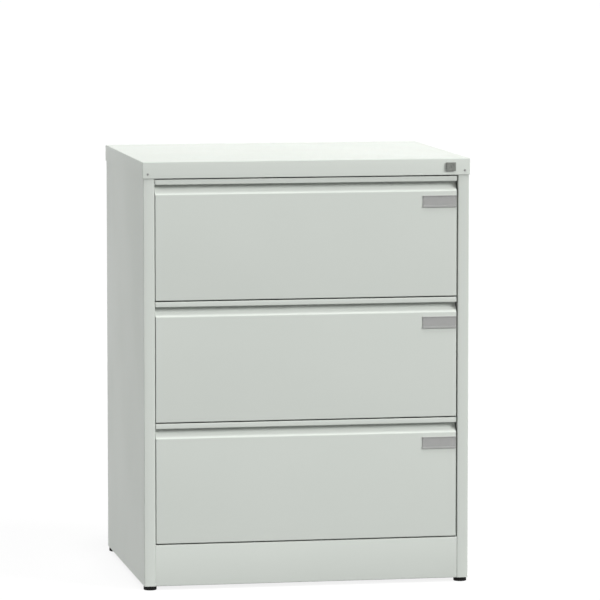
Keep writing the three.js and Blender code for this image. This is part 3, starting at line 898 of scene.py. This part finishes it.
# Wrapper of bottom and sides; its hemmed tops are the outer hanging rails
def makeTray(number):
    low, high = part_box(f"drawer_{number}_tray")
    gauge, gap = boxLook["gauge"], boxLook["hemGap"]
    half = -low.x - gap - gauge
    shoulder, hemFoot = high.z - gauge, high.z - boxLook["hemDrop"]
    path = [
        (-half - gap, hemFoot), (-half - gap, shoulder), (-half, shoulder), (-half, low.z),
        (half, low.z), (half, shoulder), (half + gap, shoulder), (half + gap, hemFoot),
    ]
    radii = {corner: boxLook["hemBend"] for corner in (1, 2, 5, 6)}
    tray = foldedSheet(f"drawerTray.{number}", "y", path, gauge, boxLook["bend"], low.y, high.y, radii)
    finishPiece(tray, f"drawer_{number}", "paint", [f"drawer_{number}_tray"])
    return low, high, half


catchLook = {
    "gauge": 2 * mm,
    "bend": 1 * mm,
    "length": 8 * mm,
    "fromBar": 0.6 * mm,
    "drop": (40 * mm, 30 * mm),  # hanging rail to its lower and upper edge
}


# Bent tab on the drawer's right side that the lock bar's finger holds
def makeCatch(number, high, half):
    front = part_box("lock_bar")[1].y + catchLook["fromBar"]
    path = [(half, front + catchLook["length"]), (half, front), (high.x, front)]
    foot, top = (high.z - drop for drop in catchLook["drop"])
    tab = foldedSheet(f"lockCatch.{number}", "z", path, catchLook["gauge"], catchLook["bend"], foot, top)
    finishPiece(tab, f"drawer_{number}", "zinc_steel")


beadLook = {
    "count": 3,  # along the bottom of each row of files
    "width": 16 * mm,
    "height": 1.6 * mm,
    "margin": 45 * mm,
    "taper": 0.7,  # length of each tapered end, as a share of the width
    "leastWidth": 0.05,  # share of the width left at the very ends
    "sink": 0.3 * mm,  # underside below the tray's floor
    "lengthSteps": 24,
    "widthSteps": 8,
}


# Long low rib pressed up from the bottom
def bead(x, start, stop, floor):
    look, length = beadLook, stop - start
    rows, columns = look["lengthSteps"], look["widthSteps"]
    upper = []
    for row in range(rows + 1):
        along = row / rows
        taper = math.sqrt(min(1, min(along, 1 - along) * length / (look["width"] * look["taper"])))
        half = look["width"] / 2 * max(taper, look["leastWidth"])
        for column in range(columns + 1):
            across = 2 * column / columns - 1
            rise = look["height"] * taper * (0.5 + 0.5 * math.cos(math.pi * across))
            upper.append((x + across * half, start + length * along, floor + rise))
    lower = [(*point[:2], floor - look["sink"]) for point in upper]
    pitch = columns + 1
    corners = [row * pitch + column for row in range(rows) for column in range(columns)]
    faces = [(corner, corner + 1, corner + pitch + 1, corner + pitch) for corner in corners]
    return thicken("bead", upper, lower, faces)


def makeBeads(number, low, high, half):
    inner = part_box(f"drawer_{number}_divider")[1].x
    floor, margin = low.z + boxLook["gauge"], beadLook["margin"]
    beads = []
    for sign in sides.values():
        for index in range(beadLook["count"]):
            x = sign * (inner + (half - inner) * (index + 1) / (beadLook["count"] + 1))
            beads.append(bead(x, low.y + margin, high.y - margin, floor))
    finishPiece(gather(f"drawerBeads.{number}", beads), f"drawer_{number}", "paint", edge=0)


# Back wall, and the divider whose top edges are the inner hanging rails
def makeInside(number):
    body, gauge, bend = f"drawer_{number}", boxLook["gauge"], boxLook["bend"]
    low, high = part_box(body + "_rear_wall")
    path = [(low.y, low.z), (high.y, low.z), (high.y, high.z), (low.y, high.z)]
    wall = foldedSheet(f"drawerRearWall.{number}", "x", path, gauge, bend, low.x, high.x)
    finishPiece(wall, body, "paint", [body + "_rear_wall"])
    low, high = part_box(body + "_divider")
    path = [(low.x, high.z), (low.x, low.z), (high.x, low.z), (high.x, high.z)]
    divider = foldedSheet(f"drawerDivider.{number}", "y", path, gauge, bend, low.y, high.y)
    finishPiece(divider, body, "paint", [body + "_divider"])


labelShape = {
    "gauge": 0.42 * mm,
    "bend": 0.1 * mm,
    "bendSteps": 4,
    "lowerLip": 4.6 * mm,
    "upperLip": 1.6 * mm,
    "edge": 0.16 * mm,
    "cardCorner": 0.8 * mm,
    "cardEdge": 0.1 * mm,
    "window": 0.12 * mm,
    "windowGap": 0.04 * mm,
    "windowEdge": 0.08 * mm,
}


# Extruded holder with a blank card behind a clear window
def makeLabel(number):
    body, shape = f"drawer_{number}", labelShape
    low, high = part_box(body + "_label_holder")
    path = [
        (low.y, low.z + shape["lowerLip"]), (low.y, low.z), (high.y, low.z), (high.y, high.z),
        (low.y, high.z), (low.y, high.z - shape["upperLip"]),
    ]
    holder = foldedSheet(f"labelHolder.{number}", "x", path, shape["gauge"], shape["bend"],
                         low.x, high.x, steps=shape["bendSteps"])
    finishPiece(holder, body, "label_grey", [body + "_label_holder"], edge=shape["edge"])
    low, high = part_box(body + "_label_card")
    ring = roundedRing((low.x, low.z), (high.x, high.z), shape["cardCorner"])

    def plate(name, back, front):
        return loft(name, [[(x, y, z) for x, z in ring] for y in (back, front)])

    card = plate(f"labelCard.{number}", high.y, low.y)
    finishPiece(card, body, "label_card", [body + "_label_card"], edge=shape["cardEdge"])
    back = low.y - shape["windowGap"]
    window = plate(f"labelWindow.{number}", back, back - shape["window"])
    finishPiece(window, body, "label_card", material=clearWindow, edge=shape["windowEdge"])


slideShape = {
    "gauge": 1.1 * mm,
    "bend": 0.45 * mm,
    "bendSteps": 4,
    "lip": 4 * mm,
    "brim": 4.4 * mm,
    "edge": 0.15 * mm,
}


# Section of a channel that opens towards the drawer
def channelPath(low, high):
    mouth, web = sorted((abs(low.x), abs(high.x)))
    lip = slideShape["lip"]
    return [(mouth, low.z + lip), (mouth, low.z), (web, low.z),
            (web, high.z), (mouth, high.z), (mouth, high.z - lip)]


# Section of a hat whose crown lies on the drawer's side
def hatPath(low, high):
    crown, deep = sorted((abs(low.x), abs(high.x)))
    brim, rim = slideShape["brim"], deep - slideShape["gauge"]
    return [(rim, high.z), (rim, high.z - brim), (crown, high.z - brim),
            (crown, low.z + brim), (rim, low.z + brim), (rim, low.z)]


# Telescopic slide: outer channel on the carcass, middle channel, and the drawer's hat-shaped runner
def makeSlides(number):
    shape = slideShape
    members = (
        ("slideOuter", "slide_outer", "cabinet", channelPath),
        ("slideMiddle", "slide_middle", f"slides_{number}", channelPath),
        ("slideRunner", "runner", f"drawer_{number}", hatPath),
    )
    for side, sign in sides.items():
        for name, part, body, section in members:
            node = f"drawer_{number}_{part}_{side}"
            low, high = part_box(node)
            path = onSide(section(low, high), sign)
            member = foldedSheet(f"{name}.{number}.{side}", "y", path, shape["gauge"], shape["bend"],
                                 low.y, high.y, steps=shape["bendSteps"])
            finishPiece(member, body, "zinc_steel", [node], edge=shape["edge"])


for number in drawerNumbers:
    makeFront(number)
    makeLiner(number)
    trayLow, trayHigh, trayHalf = makeTray(number)
    makeCatch(number, trayHigh, trayHalf)
    makeBeads(number, trayLow, trayHigh, trayHalf)
    makeInside(number)
    makeLabel(number)
    makeSlides(number)
print("drawers made:", len(drawerNumbers))


# Lock

lockLook = {
    "steps": 12,  # points of each quarter of its rings, less one
    "corner": 1.1 * mm,
    "leastCorner": 0.3 * mm,
    "ease": 0.4 * mm,
    "easeSteps": 4,
    "backGap": 0.3 * mm,  # head to the cover's skirt
    "barrel": (8.5 * mm, 20 * mm),  # radius, and reach behind the skirt's face
    "boreClear": 0.2 * mm,
    "ring": 7.6 * mm,  # round field that is let into the head
    "ringSlope": 0.4 * mm,
    "ringDepth": 0.25 * mm,
    "mouth": (0.3 * mm, 0.6 * mm),  # bevel of the bore: width, and depth from the head's face
}
plugLook = {
    "tail": 3 * mm,
    "length": 24 * mm,  # behind the skirt's face
    "ease": 0.3 * mm,
    "slot": (1.5 * mm, 6.2 * mm),
    "slotCorner": 0.5 * mm,
    "slotDepth": 1.2 * mm,
}


# Square head with a round field for the plug, and the plug with its key slot
def makeLock():
    look, steps = lockLook, lockLook["steps"]
    low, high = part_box("lock_housing")
    plugLow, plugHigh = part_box("lock_cylinder")
    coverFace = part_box("top_cover")[0].y
    centre = ((low.x + high.x) / 2, (low.z + high.z) / 2)
    wide, tall, ease = (high.x - low.x) / 2, (high.z - low.z) / 2, look["ease"]
    radius, front = (plugHigh.x - plugLow.x) / 2, plugLow.y

    def boxRing(halfWide, halfTall, corner, y):
        ring = roundedRing((centre[0] - halfWide, centre[1] - halfTall),
                           (centre[0] + halfWide, centre[1] + halfTall), corner, steps)
        return [(x, y, z) for x, z in ring]

    def headRing(inset, y):
        return boxRing(wide - inset, tall - inset, max(look["corner"] - inset, look["leastCorner"]), y)

    def circleRing(size, y):  # has as many points as a box ring and stays in line with its corners
        count = 4 * (steps + 1)
        angles = [math.tau * (index + 0.5) / count for index in range(count)]
        return [(centre[0] + size * math.cos(angle), y, centre[1] + size * math.sin(angle))
                for angle in angles]

    bore = radius + look["boreClear"]
    barrel, reach = look["barrel"]
    back, field = coverFace - look["backGap"], low.y + look["ringDepth"]
    bevel, depth = look["mouth"]
    rings = [circleRing(bore, coverFace + reach), circleRing(barrel, coverFace + reach),
             circleRing(barrel, back), headRing(0, back)]
    rings += [headRing(ease * (1 - math.cos(angle)), low.y + ease * (1 - math.sin(angle)))
              for angle in quarterAngles(look["easeSteps"])]
    rings += [circleRing(look["ring"], low.y), circleRing(look["ring"] - look["ringSlope"], field),
              circleRing(bore + bevel, field), circleRing(bore, low.y + depth)]
    finishPiece(loft("lockHead", rings, closed=True), "cabinet", "lock_grey", ["lock_housing"], edge=0)

    tail, plugBack = plugLook["tail"], coverFace + plugLook["length"]
    slot = [size / 2 for size in plugLook["slot"]]
    rings = [circleRing(tail, plugHigh.y), circleRing(tail, plugBack), circleRing(radius, plugBack),
             circleRing(radius, front + plugLook["ease"]), circleRing(radius - plugLook["ease"], front)]
    rings += [boxRing(*slot, plugLook["slotCorner"], y) for y in (front, front + plugLook["slotDepth"])]
    finishPiece(loft("lockPlug", rings), "lock", "lock_steel", ["lock_cylinder"], edge=0)


makeLock()
print("lock made")


# Nodes whose own shape is right keep it and take a finish

slotOf = {part["node"]: part["material_slot"] for part in frame["record"]["subparts"]}
keptNodes = {name: node for name, node in frame["nodes"].items() if not node.hide_render}
for name, node in keptNodes.items():
    node.data.materials.clear()
    node.data.materials.append(finishes[slotOf[name]])
print("nodes kept:", list(keptNodes))


# Floor, world and lamps

stageLook = {
    "floor": 150,  # half its width
    "bounce": 0.15,  # grey of the floor for light that it throws back
    "cameraGlow": 0.86,  # white of the floor as it is seen
    "cameraShadow": 0.125,  # grey added to that where the lamps reach it
    "world": 0.03,
}


def seenDirectly(tree):  # camera, glossy and transmission rays see the white background
    path = put(tree, "ShaderNodeLightPath").outputs
    seen = sums(tree, "ADD", path["Is Camera Ray"], path["Is Glossy Ray"])
    seen = sums(tree, "ADD", seen, path["Is Transmission Ray"])
    return sums(tree, "MINIMUM", seen, 1.0)


def makeStage():
    size = stageLook["floor"]
    corners = [(-size, -size, 0), (size, -size, 0), (size, size, 0), (-size, size, 0)]
    floor = meshObject("floor", corners, [(0, 1, 2, 3)])
    material = bpy.data.materials.new("paleFloor")
    material.use_nodes = True
    tree = material.node_tree
    tree.nodes.clear()
    bounce, shadow = (
        put(tree, "ShaderNodeBsdfDiffuse", {"Color": (stageLook[grey],) * 3 + (1,)}).outputs[0]
        for grey in ("bounce", "cameraShadow"))
    glow = put(tree, "ShaderNodeEmission", {"Strength": stageLook["cameraGlow"]}).outputs[0]
    shown = put(tree, "ShaderNodeAddShader", {0: shadow, 1: glow}).outputs[0]
    mixed = put(tree, "ShaderNodeMixShader", {0: seenDirectly(tree), 1: bounce, 2: shown}).outputs[0]
    put(tree, "ShaderNodeOutputMaterial", {"Surface": mixed})
    floor.data.materials.append(material)

    world = bpy.data.worlds.new("studio")
    bpy.context.scene.world = world
    world.use_nodes = True
    tree = world.node_tree
    strength = ramp(tree, seenDirectly(tree), 0, 1, stageLook["world"], 1.0)
    tree.links.new(strength, tree.nodes["Background"].inputs["Strength"])
    tree.nodes["Background"].inputs["Color"].default_value = (1, 1, 1, 1)


# Large far lamps, in degrees: turn goes round from the front to the right, rise goes up
lamps = {
    "rightKey": {"turn": 56, "rise": 23, "spread": 26, "strength": 3.65},
    "overhead": {"turn": 0, "rise": 80, "spread": 12, "strength": 1.88},
    "frontFill": {"turn": -5, "rise": 12, "spread": 110, "strength": 0.75},
    "leftFill": {"turn": -105, "rise": 12, "spread": 80, "strength": 2.18},
    "rearFill": {"turn": 165, "rise": 4, "spread": 14, "strength": 2.2},
}
lampDistance = 5


def makeLamps():
    for name, look in lamps.items():
        data = bpy.data.lights.new(name, "SUN")
        data.energy = look["strength"]
        data.angle = math.radians(look["spread"])
        turn, rise = math.radians(look["turn"]), math.radians(look["rise"])
        level = Vector((math.sin(turn), -math.cos(turn), 0))
        towards = level * math.cos(rise) + Vector((0, 0, math.sin(rise)))
        lamp = bpy.data.objects.new(name, data)
        lamp.location = towards * lampDistance
        lamp.rotation_euler = towards.to_track_quat("Z", "Y").to_euler()
        lamp.visible_glossy = False  # only the pale surroundings are reflected, so no lamp glares
        bpy.context.collection.objects.link(lamp)


makeStage()
makeLamps()
print("stage and lamps set")
